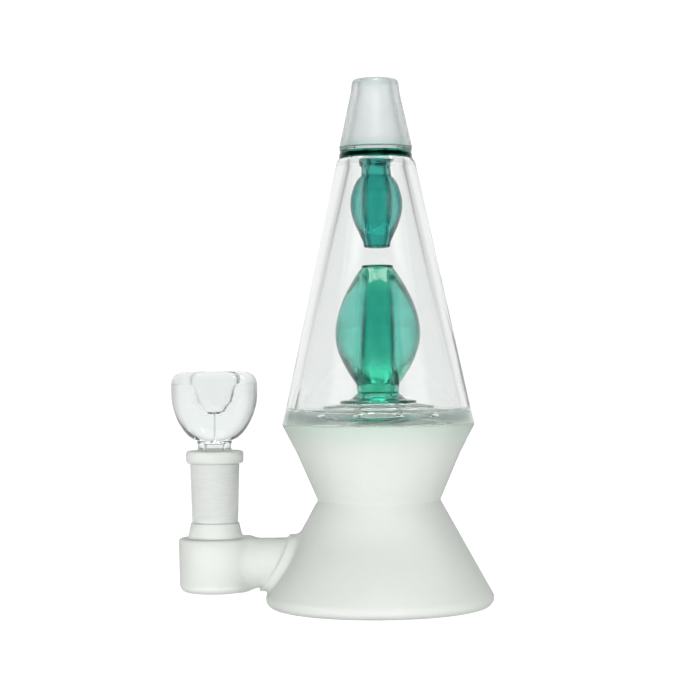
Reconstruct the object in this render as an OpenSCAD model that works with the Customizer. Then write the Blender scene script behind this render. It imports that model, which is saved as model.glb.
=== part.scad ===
/* [Base] */
// Radius of the heel, the widest part of the base
heel_r = 40.8; // [38:0.1:43]
// Rounding of the heel
heel_round = 3.2; // [2.5:0.1:4]
// Outer radius at the waist of the base
waist_r = 22; // [21:0.1:24]
// Height of the waist
waist_z = 38.1; // [36:0.1:40]
// Outer radius of the sharp corner under the deck
corner_r = 34.6; // [33.8:0.1:35]
// Height of the underside of the deck
deck_z = 65.2; // [64:0.1:67]
// Wall of the base
base_wall = 3.4; // [2.8:0.1:3.8]
// Thickness of the floor of the base
floor_t = 4; // [3:0.1:5]
// Depth of the hollow under the floor
punt = 1.2; // [0.5:0.1:2]

/* [Chamber] */
// Thickness of the deck plate
deck_t = 4.4; // [3.5:0.1:5]
// Outer radius of the chamber where it stands on the deck
chamber_r = 33.4; // [33:0.1:34]
// Outer radius of the chamber at its shoulder
shoulder_r = 14.2; // [13.8:0.1:14.6]
// Height of the shoulder
shoulder_z = 158.9; // [157:0.1:160]
// Wall at the foot of the chamber
foot_wall = 3.6; // [3:0.1:4]
// Wall at the top of the chamber
top_wall = 4.4; // [3.8:0.1:4.8]

/* [Blobs] */
// Outer radius of the clear ring around the foot of the lower blob
ring_r = 20; // [18:0.1:22]
// Thickness of that ring
ring_t = 3; // [2:0.1:3.5]
// Radius of the foot of the lower blob
foot_r = 13.8; // [12.5:0.1:15]
// Radius of the neck of the lower blob
lower_neck_r = 7.4; // [7:0.1:8]
// Largest radius of the lower blob
lower_r = 15.1; // [14:0.1:16]
// Height of that largest radius
lower_mid_z = 97.5; // [95:0.1:100]
// Height of the rim of the lower blob
lower_top_z = 121.8; // [119:0.1:124]
// Radius of the rim of the lower blob
lower_rim_r = 5.7; // [5.5:0.1:6.2]
// Radius of the bore through the deck
deck_bore_r = 6.4; // [5.8:0.1:6.6]
// Radius of the bore at the foot of the lower blob
lower_bore_r = 6.2; // [5.6:0.1:6.4]
// Radius of that bore under the rim
lower_mouth_r = 4.2; // [3.8:0.1:4.6]
// Radius of the neck of the upper blob
upper_neck_r = 4.9; // [4.6:0.1:5.4]
// Largest radius of the upper blob
upper_r = 9.6; // [9:0.1:10]
// Height of that largest radius
upper_mid_z = 143.2; // [141:0.1:145]
// Height of the rim of the upper blob
upper_rim_z = 128.9; // [127:0.1:130]
// Radius of the rim of the upper blob
upper_rim_r = 4.8; // [4.4:0.1:5.4]
// Radius of the bore through the upper neck and the disc
upper_bore_r = 2.2; // [1.8:0.1:2.6]
// Thickness of the disc that carries the upper blob
disc_t = 2.6; // [2:0.1:3]

/* [Mouthpiece] */
// Height of the top of the lip
total_h = 188.8; // [187:0.1:192]
// Thickness of the clear ring between the disc and the mouthpiece
seal_t = 1.4; // [1:0.1:2]
// Outer radius at the foot of the mouthpiece
mouth_foot_r = 13.2; // [12.8:0.1:13.3]
// Outer radius just below the lip
mouth_lip_r = 8.7; // [8:0.1:9]
// Wall of the mouthpiece
mouth_wall = 3; // [2.6:0.1:3.2]

/* [Side arm] */
// Distance from the main axis to the axis of the pot and its joint
joint_x = 58.8; // [56:0.1:62]
// Height of the axis of the arm
arm_z = 15.9; // [15.6:0.1:16]
// Outer radius of the arm
arm_r = 8.9; // [8:0.1:8.9]
// Radius of the bore of the arm
arm_bore_r = 5.8; // [5:0.1:6]
// Outer radius of the weld collar where the arm meets the skirt
collar_r = 10.5; // [10:0.1:10.8]
// How far the weld collar stands out from the skirt
collar_t = 3; // [2:0.1:4]
// Outer radius of the pot
pot_r = 13.1; // [12.4:0.1:13.4]
// Height of the bottom of the pot
pot_z = 5.8; // [5:0.1:6.2]
// Height of the top of the pot
pot_top_z = 25; // [24.9:0.1:25.6]
// Wall of the pot
pot_wall = 2.6; // [2.2:0.1:2.8]

/* [Ground joint] */
// Outer radius at the bottom of the ground socket
socket_foot_r = 8.1; // [8:0.1:8.4]
// Outer radius at the top of the ground socket
socket_top_r = 8.8; // [8.6:0.1:9.2]
// Height of the bottom of the ground socket
socket_z = 30.5; // [30:0.1:31]
// Height of the top of the ground socket
socket_top_z = 51.5; // [51:0.1:52]
// Radius of the ground cone at its wide end, half of 14.5 mm
ground_r = 7.25; // [7.2:0.01:7.3]
// Radial gap between the two ground cones
ground_gap = 0.05; // [0.02:0.01:0.09]
// Radius of the bead round the mouth of the socket
bead_r = 10.3; // [9.8:0.1:10.6]
// Height of the top of the bead
bead_top_z = 56.2; // [55:0.1:56.6]

/* [Bowl] */
// Largest outer radius of the bowl
bowl_r = 15.5; // [15:0.1:16]
// Height of that largest radius
bowl_mid_z = 77; // [76:0.1:78]
// Height of the foot of the bowl, where its neck begins
bowl_foot_z = 60; // [59:0.1:61]
// Height of the lip of the bowl
bowl_top_z = 84.6; // [84:0.1:85]
// Radius of the neck of the bowl
bowl_neck_r = 6.1; // [5.8:0.1:6.6]
// Radius of the mouth of the funnel
funnel_r = 8.4; // [8:0.1:9]
// Radius of the hole at the bottom of the funnel
funnel_hole_r = 1.5; // [1.2:0.1:2]

/* [Stem] */
// Outer radius of the diffuser stem inside the base
stem_r = 6.6; // [6.2:0.1:7]
// Distance that the stem reaches past the main axis
stem_reach = 14; // [8:1:20]
// Number of slits along the stem
slit_count = 7; // [4:1:9]
// Width of one slit
slit_w = 1.2; // [0.8:0.1:1.5]

/* [Hidden] */
$fn = 72;
frosted = "#d9e2dc";
ground = "#c9cfcb";
clear = "#e6f1ee";
teal = "#3fae92";
deep_teal = "#0c5a4c";
steps = 10;
// Ground joints taper 1 in 10 on the diameter
taper = 1 / 20;
deck_top_z = deck_z + deck_t;
lower_foot_z = deck_top_z + ring_t;
lower_neck_z = lower_foot_z + 6.4;
disc_z = shoulder_z + 1.3;
seal_z = disc_z + disc_t;
mouth_z = seal_z + seal_t;
lip_z = total_h - 4.4;
upper_neck_z = upper_mid_z + 10.7;
weld_z = disc_z - 2.6;
disc_r = 13.3;
// The line of the skirt runs from the waist and touches the round of the heel
heel_c = [heel_r - heel_round, heel_round];
waist_p = [waist_r, waist_z];
heel_a = atan2(waist_z - heel_c[1], waist_r - heel_c[0]) - acos(heel_round / norm(waist_p - heel_c));
skirt_n = [cos(heel_a), sin(heel_a)];
skirt_slope = skirt_n[1] / skirt_n[0];
wall_across = base_wall / skirt_n[0];
floor_r = waist_r + (waist_z - floor_t) * skirt_slope - wall_across;
// Inner radius of the flat foot that the base stands on
foot_in_r = floor_r - 3;
cone_mid = [29.2, 54.8];
bead_round = (bead_top_z - socket_top_z) / 2;
socket_bore_r = ground_r + ground_gap;
male_top_z = socket_top_z;
male_z = socket_z + 1;

// Radius that swells from an end to a middle along a cosine raised to a power
function swell(r_end, r_mid, t, p) = r_end + (r_mid - r_end) * pow(cos(90 * t), p);
// Points of a swelling outline from height z0 to z1, where t goes from t0 to t1
function swell_pts(r_end, r_mid, z_mid, z_end, p, t0, t1) =
    [for (i = [0:steps]) let (t = t0 + (t1 - t0) * i / steps)
        [swell(r_end, r_mid, t, p), z_mid + (z_end - z_mid) * t]];
// Points of an arc about a centre, from angle a0 to a1
function arc_pts(c, r, a0, a1, n = steps) =
    [for (i = [0:n]) let (a = a0 + (a1 - a0) * i / n) c + r * [cos(a), sin(a)]];
// Outer radius of the chamber at a height
function chamber_at(z) = chamber_r + (shoulder_r - chamber_r) * (z - deck_top_z) / (shoulder_z - deck_top_z);
// Radius of the ground cone at a height
function ground_at(z) = ground_r - (socket_top_z - z) * taper;

module turned(points) {
    rotate_extrude() polygon(points);
}

module at_joint() {
    translate([-joint_x, 0, 0]) children();
}

// A round bar along the arm's axis, from x0 to x1
module arm_bar(r, x0, x1) {
    translate([x0, 0, arm_z]) rotate([0, 90, 0]) cylinder(r = r, h = x1 - x0);
}

// The skirt filled solid, grown outwards by a distance
module skirt_solid(grow) {
    turned(concat(
        [[0, 0], [heel_c[0], 0]],
        arc_pts(heel_c, heel_round + grow, grow == 0 ? -90 : 0, heel_a),
        [waist_p + grow * skirt_n, [0, waist_z + grow * skirt_n[1]]]
    ));
}

// The space inside the skirt: the hollow underneath, the seat of the floor, and the water above it
module skirt_hollow() {
    turned([
        [0, -1],
        [foot_in_r, -1],
        [foot_in_r, 0],
        [foot_in_r - punt, punt],
        [floor_r, punt],
        [floor_r, floor_t],
        [waist_r - wall_across, waist_z],
        [waist_r - wall_across, waist_z + 1],
        [0, waist_z + 1]
    ]);
}

module base_floor() {
    color(frosted) translate([0, 0, punt]) cylinder(r = floor_r, h = floor_t - punt);
}

module base_skirt() {
    color(frosted) difference() {
        skirt_solid(0);
        skirt_hollow();
        arm_bar(arm_bore_r, -heel_r - 5, 0);
    }
}

module base_cone() {
    across = wall_across * 0.96;
    color(frosted) turned([
        waist_p,
        cone_mid,
        [corner_r, deck_z],
        [corner_r - across, deck_z],
        [cone_mid[0] - across, cone_mid[1]],
        [waist_r - wall_across, waist_z]
    ]);
}

module deck_plate() {
    color(clear) turned([
        [deck_bore_r, deck_z],
        [corner_r, deck_z],
        [chamber_r, deck_top_z],
        [deck_bore_r, deck_top_z]
    ]);
}

module foot_ring() {
    round = 1.4;
    color(clear) turned(concat(
        [[deck_bore_r, deck_top_z], [ring_r - 0.6, deck_top_z]],
        arc_pts([ring_r - round, deck_top_z + round], round, -35, 75, 6),
        [[foot_r + 0.5, lower_foot_z], [deck_bore_r, lower_foot_z]]
    ));
}

module lower_blob() {
    color(teal) difference() {
        turned(concat(
            [[0, lower_foot_z], [foot_r - 0.4, lower_foot_z]],
            arc_pts([foot_r - 0.6, lower_foot_z + 0.6], 0.6, -60, 70, 4),
            [[lower_neck_r + 2, lower_foot_z + 1.9], [lower_neck_r, lower_foot_z + 2.9]],
            swell_pts(lower_neck_r, lower_r, lower_mid_z, lower_neck_z, 1, 1, 0),
            swell_pts(lower_rim_r, lower_r, lower_mid_z, lower_top_z, 0.85, 0.1, 0.97),
            [[lower_rim_r, lower_top_z], [0, lower_top_z]]
        ));
        turned([
            [0, lower_foot_z - 1],
            [lower_bore_r, lower_foot_z - 1],
            [lower_bore_r, lower_neck_z - 4],
            [lower_mouth_r, lower_top_z - 3],
            [lower_mouth_r - 0.4, lower_top_z - 1],
            [lower_mouth_r - 0.4, lower_top_z + 1],
            [0, lower_top_z + 1]
        ]);
    }
}

module chamber() {
    fillet = 4;
    color(clear) turned([
        [chamber_r, deck_top_z],
        [shoulder_r, shoulder_z],
        [disc_r + 0.6, disc_z - 0.5],
        [disc_r, disc_z],
        [shoulder_r - top_wall, disc_z],
        [shoulder_r - top_wall + 0.4, shoulder_z - 2],
        [chamber_at(deck_top_z + fillet) - foot_wall, deck_top_z + fillet],
        [chamber_r - foot_wall - 1.2, deck_top_z + 1.6],
        [chamber_r - foot_wall - 3.4, deck_top_z]
    ]);
}

module neck_weld() {
    round = 1.3;
    color(teal) turned(concat(
        [[upper_bore_r, weld_z], [upper_neck_r, weld_z]],
        arc_pts([upper_neck_r, weld_z + round], round, -80, 80, 8),
        [[upper_neck_r + 0.8, disc_z], [upper_bore_r, disc_z]]
    ));
}

module upper_blob() {
    color(teal) difference() {
        turned(concat(
            [[0, upper_rim_z], [upper_rim_r - 0.5, upper_rim_z], [upper_rim_r, upper_rim_z + 0.6]],
            swell_pts(upper_rim_r, upper_r, upper_mid_z, upper_rim_z, 1.2, 0.9, 0),
            swell_pts(upper_neck_r, upper_r, upper_mid_z, upper_neck_z, 0.65, 0.1, 1),
            [[upper_neck_r, weld_z], [0, weld_z]]
        ));
        turned(concat(
            [[0, upper_rim_z - 1], [3, upper_rim_z - 1]],
            swell_pts(3, upper_r / 2, upper_mid_z, upper_rim_z, 1.2, 1, 0),
            swell_pts(upper_bore_r, upper_r / 2, upper_mid_z, upper_neck_z, 0.8, 0.1, 1),
            [[upper_bore_r, weld_z + 1], [0, weld_z + 1]]
        ));
    }
}

module upper_disc() {
    color(deep_teal) turned([
        [upper_bore_r, disc_z],
        [disc_r - 0.2, disc_z],
        [disc_r, disc_z + 0.5],
        [disc_r - 0.2, seal_z - 0.5],
        [disc_r - 0.6, seal_z],
        [upper_bore_r, seal_z]
    ]);
}

module seal_ring() {
    color(clear) turned([
        [mouth_foot_r - mouth_wall, seal_z],
        [mouth_foot_r - 0.5, seal_z],
        [mouth_foot_r - 0.2, seal_z + seal_t / 2],
        [mouth_foot_r - 0.1, mouth_z],
        [mouth_foot_r - mouth_wall, mouth_z]
    ]);
}

module mouthpiece() {
    color(frosted) turned([
        [mouth_foot_r, mouth_z],
        [mouth_lip_r, lip_z],
        [mouth_lip_r - mouth_wall, lip_z],
        [mouth_foot_r - mouth_wall, mouth_z]
    ]);
}

module mouth_lip() {
    outer = 2.4;
    inner = 1;
    top_r = mouth_lip_r - 0.4;
    color(frosted) turned(concat(
        [[mouth_lip_r - mouth_wall, lip_z], [mouth_lip_r, lip_z]],
        arc_pts([top_r - outer, total_h - outer], outer, 5, 90, 7),
        arc_pts([mouth_lip_r - mouth_wall + inner, total_h - inner], inner, 95, 180, 5)
    ));
}

module inline_stem() {
    wall = 2;
    pitch = (stem_reach + 20) / slit_count;
    color(frosted) difference() {
        intersection() {
            arm_bar(stem_r, -heel_r, stem_reach);
            skirt_hollow();
        }
        arm_bar(stem_r - wall, -heel_r - 1, stem_reach - wall);
        for (i = [0:slit_count - 1])
            translate([stem_reach - 5 - i * pitch - slit_w, -stem_r - 1, arm_z - stem_r - 1])
                cube([slit_w, 2 * stem_r + 2, stem_r - 1]);
    }
}

module arm_weld() {
    color(frosted) difference() {
        intersection() {
            arm_bar(collar_r, -heel_r - 10, -20);
            skirt_solid(collar_t);
        }
        arm_bar(arm_r, -heel_r - 11, -19);
        skirt_solid(0);
    }
}

// The pot filled solid
module pot_solid() {
    round = 2.9;
    turned(concat(
        [[0, pot_z], [pot_r - 0.5 - round, pot_z]],
        arc_pts([pot_r - 0.5 - round, pot_z + round], round, -90, 0, 6),
        [[pot_r, pot_top_z - 1]],
        arc_pts([pot_r - 1, pot_top_z - 1], 1, 10, 90, 5),
        [[0, pot_top_z]]
    ));
}

module side_arm() {
    color(frosted) difference() {
        arm_bar(arm_r, -joint_x, -20);
        arm_bar(arm_bore_r, -joint_x - 1, -19);
        at_joint() pot_solid();
        skirt_solid(0);
    }
}

module side_pot() {
    inner = pot_r - pot_wall;
    color(frosted) difference() {
        at_joint() difference() {
            pot_solid();
            turned([
                [0, pot_z - 1],
                [inner - 1, pot_z - 1],
                [inner - 1, pot_z + pot_wall],
                [inner, pot_z + pot_wall + 1],
                [inner, pot_top_z - pot_wall],
                [ground_at(socket_z), pot_top_z - pot_wall + 1],
                [ground_at(socket_z), pot_top_z + 1],
                [0, pot_top_z + 1]
            ]);
        }
        arm_bar(arm_bore_r, -joint_x, 0);
    }
}

module pot_floor() {
    color(frosted) at_joint() translate([0, 0, pot_z])
        cylinder(r = pot_r - pot_wall - 1, h = pot_wall);
}

module joint_foot() {
    color(frosted) at_joint() turned([
        [ground_at(socket_z), pot_top_z],
        [9.9, pot_top_z],
        [9.4, pot_top_z + 2],
        [socket_foot_r, socket_z],
        [ground_at(socket_z), socket_z]
    ]);
}

module joint_socket() {
    color(ground) at_joint() turned([
        [ground_at(socket_z) + ground_gap, socket_z],
        [socket_foot_r, socket_z],
        [socket_top_r, socket_top_z],
        [socket_bore_r, socket_top_z]
    ]);
}

module joint_bead() {
    color(clear) at_joint() turned(concat(
        [[socket_bore_r, socket_top_z], [socket_top_r, socket_top_z]],
        arc_pts([bead_r - bead_round, socket_top_z + bead_round], bead_round, -60, 100, 12),
        [[socket_bore_r + 0.5, bead_top_z - 0.3], [socket_bore_r + 0.2, bead_top_z - 1.2]]
    ));
}

module bowl() {
    lip = 4.8;
    color(clear) at_joint() difference() {
        turned(concat(
            [[0, bowl_foot_z], [bowl_neck_r, bowl_foot_z]],
            swell_pts(bowl_neck_r, bowl_r, bowl_mid_z, bowl_foot_z, 0.55, 0.98, 0),
            arc_pts([bowl_r - lip, bowl_top_z - lip], lip, 0, 90),
            [[0, bowl_top_z]]
        ));
        turned([
            [0, bowl_foot_z - 1],
            [3, bowl_foot_z - 1],
            [3, bowl_foot_z + 3],
            [funnel_hole_r, bowl_foot_z + 5.5],
            [funnel_hole_r, bowl_foot_z + 9.4],
            [3.6, bowl_foot_z + 10.9],
            [5.8, bowl_foot_z + 13.8],
            [funnel_r - 0.8, bowl_foot_z + 18.2],
            [funnel_r + 0.1, bowl_top_z - 4.6],
            [funnel_r + 0.4, bowl_top_z - 1.6],
            [funnel_r + 1.2, bowl_top_z],
            [funnel_r + 1.2, bowl_top_z + 1],
            [0, bowl_top_z + 1]
        ]);
    }
}

module bowl_neck() {
    bore = 3;
    color(clear) at_joint() turned([
        [bore, male_top_z],
        [ground_r - 0.02, male_top_z],
        [ground_r - 0.1, male_top_z + 0.8],
        [bowl_neck_r + 0.3, male_top_z + 3],
        [bowl_neck_r, male_top_z + 5],
        [bowl_neck_r, bowl_foot_z],
        [bore, bowl_foot_z]
    ]);
}

module bowl_joint() {
    color(ground) at_joint() turned([
        [4.4, male_z],
        [ground_at(male_z), male_z],
        [ground_r, male_top_z],
        [3, male_top_z],
        [4.4, male_top_z - 3]
    ]);
}

base_floor();
base_skirt();
base_cone();
deck_plate();
foot_ring();
lower_blob();
chamber();
neck_weld();
upper_blob();
upper_disc();
seal_ring();
mouthpiece();
mouth_lip();
inline_stem();
arm_weld();
side_arm();
side_pot();
pot_floor();
joint_foot();
joint_socket();
joint_bead();
bowl();
bowl_neck();
bowl_joint();
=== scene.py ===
import math

import bpy
import numpy as np
from mathutils import Matrix, Vector


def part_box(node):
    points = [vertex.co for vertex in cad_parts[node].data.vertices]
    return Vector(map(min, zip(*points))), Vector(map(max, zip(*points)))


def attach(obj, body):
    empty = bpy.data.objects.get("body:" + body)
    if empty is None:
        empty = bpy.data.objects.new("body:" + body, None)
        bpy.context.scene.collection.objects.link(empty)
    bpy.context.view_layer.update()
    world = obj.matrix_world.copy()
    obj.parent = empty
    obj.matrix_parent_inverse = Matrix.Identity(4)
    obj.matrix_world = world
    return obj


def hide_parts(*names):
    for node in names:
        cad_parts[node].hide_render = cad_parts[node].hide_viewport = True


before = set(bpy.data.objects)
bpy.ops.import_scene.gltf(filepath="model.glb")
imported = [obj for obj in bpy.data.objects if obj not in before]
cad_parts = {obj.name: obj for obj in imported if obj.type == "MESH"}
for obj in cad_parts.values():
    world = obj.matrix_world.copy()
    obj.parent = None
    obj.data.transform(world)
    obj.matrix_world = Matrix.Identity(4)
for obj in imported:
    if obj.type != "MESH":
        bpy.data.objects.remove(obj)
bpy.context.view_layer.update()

# A glass water pipe in the outline of a lava lamp: a frosted hourglass foot with a side arm and a
# ground joint, a clear conical chamber with two teal blobs, a frosted mouthpiece and a loose bowl.
MM = 0.001
VESSEL = "vessel"
BOWL_BODY = "bowl_piece"
RING_STEPS = 256          # points around a turned piece
GRID = 0.45   # spacing of the grid that the fused foot is built on, in mm
BLOCK = 4                 # grid points along a block that is first tested at its middle


# ---------------------------------------------------------------- sizes, in mm
# Read from the frame where a node gives them; the others are named here.
def low(node):
    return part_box(node)[0] / MM


def high(node):
    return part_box(node)[1] / MM


def radius(node):
    """Largest radius of a turned node."""
    return (high(node).y - low(node).y) / 2


FLOOR_R, FLOOR_T = radius("base_floor"), high("base_floor").z
HEEL_R, WAIST_Z = radius("base_skirt"), high("base_skirt").z
WAIST_R = 22.0
BASE_WALL = 3.4
HEEL_ROUND = 3.2          # rounding of the base's bottom edge
PUNT = 1.2                # depth of the recess under the base
CONTACT = 0.03            # gap left between pieces of glass that touch, in mm
CORNER_R, DECK_Z = radius("base_cone"), high("base_cone").z
FLARE_R, FLARE_Z = 29.2, 54.8
DECK_TOP = high("deck_plate").z
RING_R, RING_TOP = radius("foot_ring"), high("foot_ring").z
CHAMBER_R, CHAMBER_TOP = radius("chamber"), high("chamber").z
SHOULDER_R, SHOULDER_Z = 14.2, CHAMBER_TOP - 1.3
LOWER_R, LOWER_TOP = radius("lower_blob"), high("lower_blob").z
LOWER_MID_Z, LOWER_NECK_R, LOWER_RIM_R = 97.5, 7.4, 5.7
DECK_BORE, LOWER_BORE, LOWER_MOUTH, LOWER_HOLE = 6.4, 5.5, 4.0, 3.2
LOWER_DOME_R, LOWER_DOME_Z = 4.5, LOWER_TOP - 4.0
UPPER_R = radius("upper_blob")
UPPER_RIM_Z = low("upper_blob").z - 0.7  # a little lower than the CAD's rim
UPPER_MID_Z, UPPER_NECK_R, UPPER_RIM_R = 143.2, 5.2, 4.8
UPPER_BORE, UPPER_MOUTH = 3.2, 2.9
DISC_R, DISC_Z, SEAL_Z = radius("upper_disc"), low("upper_disc").z, high("upper_disc").z
MOUTH_R, MOUTH_Z = radius("mouthpiece"), low("mouthpiece").z
TOP_Z, LIP_Z, LIP_R = high("mouth_lip").z, low("mouth_lip").z, radius("mouth_lip")
MOUTH_WALL = 3.0
JOINT_X = (low("side_pot").x + high("side_pot").x) / 2
POT_R, POT_Z, POT_TOP = radius("side_pot"), low("side_pot").z, high("side_pot").z
POT_WALL = 2.6
ARM_R, ARM_BORE = radius("side_arm"), 5.8
ARM_Z = (low("side_arm").z + high("side_arm").z) / 2
ARM_END_X = -20           # where the arm ends, inside the base
COLLAR_WALL, COLLAR_REACH = 1.2, 3.0     # collar of melted glass round the arm, at the base
SOCKET_Z, SOCKET_TOP = low("joint_socket").z, high("joint_socket").z
SOCKET_R, SOCKET_FOOT_R = radius("joint_socket"), 8.1
GROUND_R, GROUND_GAP = 7.25, 0.05        # of the ground joint, at its top
TAPER = 0.05              # how much its radius shrinks for each mm down
BEAD_R, BEAD_TOP = radius("joint_bead"), high("joint_bead").z
BOWL_R, BOWL_FOOT, BOWL_TOP = radius("bowl"), low("bowl").z, high("bowl").z
BOWL_MID_Z, BOWL_NECK_R, BOWL_HOLE = 77.0, 6.1, 0.25
MALE_Z, MALE_TOP = low("bowl_joint").z, high("bowl_joint").z

# Brightness of the studio from the camera's side, at the first value, to behind the object
WORLD_STEPS = [(-1.2, 0.06), (0.0, 0.08), (0.30, 0.20), (0.52, 0.42), (0.72, 0.74),
               (0.90, 0.96), (1.2, 1.0)]
WORLD_RISE = 0.45         # how much the sweep brightens above and below
WORLD_SINK = 0.30         # how much brighter the table below is than the room above
STUDIO_AIM = (0, 0, 0.1)  # point that the lights look at, in metres


# ---------------------------------------------------------------- outlines
STRAIGHT = 1.55           # half angle, in radians, past which a corner is as good as straight
SIDE_SHARE = 0.48         # the most that one rounding may take of a side
ARC_TURN = 0.09           # about the most that one step of a rounding turns, in radians
ARC_SPAN = 0.6            # and about the longest that it is, in mm


def swell(r_end, r_mid, z_mid, z_end, power, t0, t1, steps=28):
    """Outline that swells from an end to a middle along a cosine raised to a power."""
    t = np.linspace(t0, t1, steps)
    r = r_end + (r_mid - r_end) * np.cos(np.pi / 2 * t) ** power
    return list(zip(r, z_mid + (z_end - z_mid) * t))


def rounded(points, closed=True):
    """Outline of (r, z) or (r, z, rounding) points, whose corners are replaced by arcs."""
    out = []
    count = len(points)
    for i, p in enumerate(points):
        here = np.array(p[:2], float)
        size = p[2] if len(p) > 2 else 0.0
        if size <= 0 or (not closed and i in (0, count - 1)):
            out.append(tuple(here))
            continue
        before = np.array(points[i - 1][:2], float) - here
        after = np.array(points[(i + 1) % count][:2], float) - here
        way_in, way_out = np.linalg.norm(before), np.linalg.norm(after)
        before, after = before / way_in, after / way_out
        half = math.acos(max(-1.0, min(1.0, float(before @ after)))) / 2
        if half > STRAIGHT:
            out.append(tuple(here))
            continue
        back = min(size / math.tan(half), SIDE_SHARE * way_in, SIDE_SHARE * way_out)
        r = back * math.tan(half)
        centre = here + (before + after) / np.linalg.norm(before + after) * (r / math.sin(half))
        a, b = here + before * back - centre, here + after * back - centre
        turn = math.pi - 2 * half
        steps = max(3, int(turn / ARC_TURN), int(r * turn / ARC_SPAN))
        for k in range(steps + 1):
            f = k / steps
            v = (math.sin((1 - f) * turn) * a + math.sin(f * turn) * b) / math.sin(turn)
            out.append(tuple(centre + v))
    return out


def dense(points, step=1.5):
    """The same closed outline with its long stretches divided, so that a wobble shows evenly."""
    out = []
    for p, q in zip(points, points[1:] + points[:1]):
        n = math.ceil(math.dist(p, q) / step) or 1
        out += [tuple(np.array(p) + (np.array(q) - np.array(p)) * k / n) for k in range(n)]
    return out


# ---------------------------------------------------------------- meshes
def mesh_object(name, verts, faces):
    mesh = bpy.data.meshes.new(name)
    mesh.from_pydata((np.asarray(verts) * MM).tolist(), [], faces)
    mesh.validate()
    mesh.shade_smooth()
    obj = bpy.data.objects.new(name, mesh)
    bpy.context.scene.collection.objects.link(obj)
    return obj


def turned(outline, axis_x=0.0, wobble=None, steps=RING_STEPS):
    """Vertices and quads of a closed outline turned about the upright line at axis_x."""
    rz = np.array(outline, float)
    a = np.linspace(0, 2 * math.pi, steps, endpoint=False)
    r = np.repeat(rz[None, :, 0], steps, 0)
    z = np.repeat(rz[None, :, 1], steps, 0)
    turn = np.repeat(a[:, None], len(rz), 1)
    if wobble:
        r, z = wobble(r, z, turn)
    verts = np.stack([axis_x + r * np.cos(turn), r * np.sin(turn), z], -1).reshape(-1, 3)
    n = len(rz)
    i = np.arange(steps)[:, None] * n
    j = np.arange(n)[None, :]
    i2 = (np.arange(steps)[:, None] + 1) % steps * n
    j2 = (j + 1) % n
    faces = np.stack([i + j, i2 + j, i2 + j2, i + j2], -1).reshape(-1, 4)
    area = 0.5 * np.sum(rz[:, 0] * np.roll(rz[:, 1], -1) - np.roll(rz[:, 0], -1) * rz[:, 1])
    if area < 0:
        faces = faces[:, ::-1]
    return verts, faces


def lathe(name, outline, axis_x=0.0, wobble=None):
    verts, faces = turned(outline, axis_x, wobble)
    return mesh_object(name, verts, faces.tolist())


def surface_net(field, lo, hi, step):
    """Smooth quads on the zero surface of a field, which is negative inside."""
    # Blocks with their middle near the surface are worked out point by point. The others keep
    # the value at their middle.
    blocks = [int((b - a) / (step * BLOCK)) + 1 for a, b in zip(lo, hi)]
    coarse = [a + (np.arange(n) * BLOCK + (BLOCK - 1) / 2) * step for a, n in zip(lo, blocks)]
    far = field(np.stack(np.meshgrid(*coarse, indexing="ij"), -1).reshape(-1, 3)).reshape(blocks)
    f = far
    for axis in range(3):
        f = np.repeat(f, BLOCK, axis)
    axes = [a + np.arange(n * BLOCK) * step for a, n in zip(lo, blocks)]
    grid = np.stack(np.meshgrid(*axes, indexing="ij"), -1)
    near = np.abs(f) < BLOCK * step
    f[near] = field(grid[near])
    # A cell that the surface crosses gets one vertex, at the mean of the crossings on its edges.
    inside = f < 0
    cells = tuple(n - 1 for n in f.shape)
    total = np.zeros(cells + (3,))
    count = np.zeros(cells)
    offsets = [(0, 0), (0, 1), (1, 0), (1, 1)]
    for axis in range(3):
        others = [k for k in range(3) if k != axis]
        for o in offsets:
            start = [0, 0, 0]
            start[others[0]], start[others[1]] = o
            a = tuple(slice(s, s + c) for s, c in zip(start, cells))
            start[axis] = 1
            b = tuple(slice(s, s + c) for s, c in zip(start, cells))
            cross = inside[a] != inside[b]
            share = np.where(cross, f[a] / np.where(cross, f[a] - f[b], 1), 0)
            point = grid[a] + share[..., None] * (grid[b] - grid[a])
            total += point * cross[..., None]
            count += cross
    used = count > 0
    index = -np.ones(cells, int)
    index[used] = np.arange(used.sum())
    verts = total[used] / count[used][:, None]
    # A grid edge that the surface crosses gets one quad, between the four cells round it.
    quads = []
    for axis in range(3):
        u, v = (axis + 1) % 3, (axis + 2) % 3
        a = [slice(1, -1)] * 3
        a[axis] = slice(0, -1)
        b = list(a)
        b[axis] = slice(1, None)
        here, there = inside[tuple(a)], inside[tuple(b)]
        cross = np.argwhere(here != there)
        low_in = here[tuple(cross.T)]
        cross[:, u] += 1
        cross[:, v] += 1
        ring = []
        for du, dv in ((-1, -1), (0, -1), (0, 0), (-1, 0)):
            cell = cross.copy()
            cell[:, u] += du
            cell[:, v] += dv
            ring.append(index[tuple(cell.T)])
        ring = np.stack(ring, -1)
        ring[~low_in] = ring[~low_in][:, ::-1]
        quads.append(ring)
    # The vertices are then pulled onto the surface, along the field's slope.
    probe, flattest, longest = 0.02, 0.25, 0.3
    for _ in range(3):
        value = field(verts)
        slope = np.stack([(field(verts + d) - field(verts - d)) / (2 * probe)
                          for d in np.eye(3) * probe], -1)
        steepness = np.maximum((slope ** 2).sum(-1), flattest)
        verts = verts - np.clip(value / steepness, -longest, longest)[:, None] * slope
    return verts, np.concatenate(quads)


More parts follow.
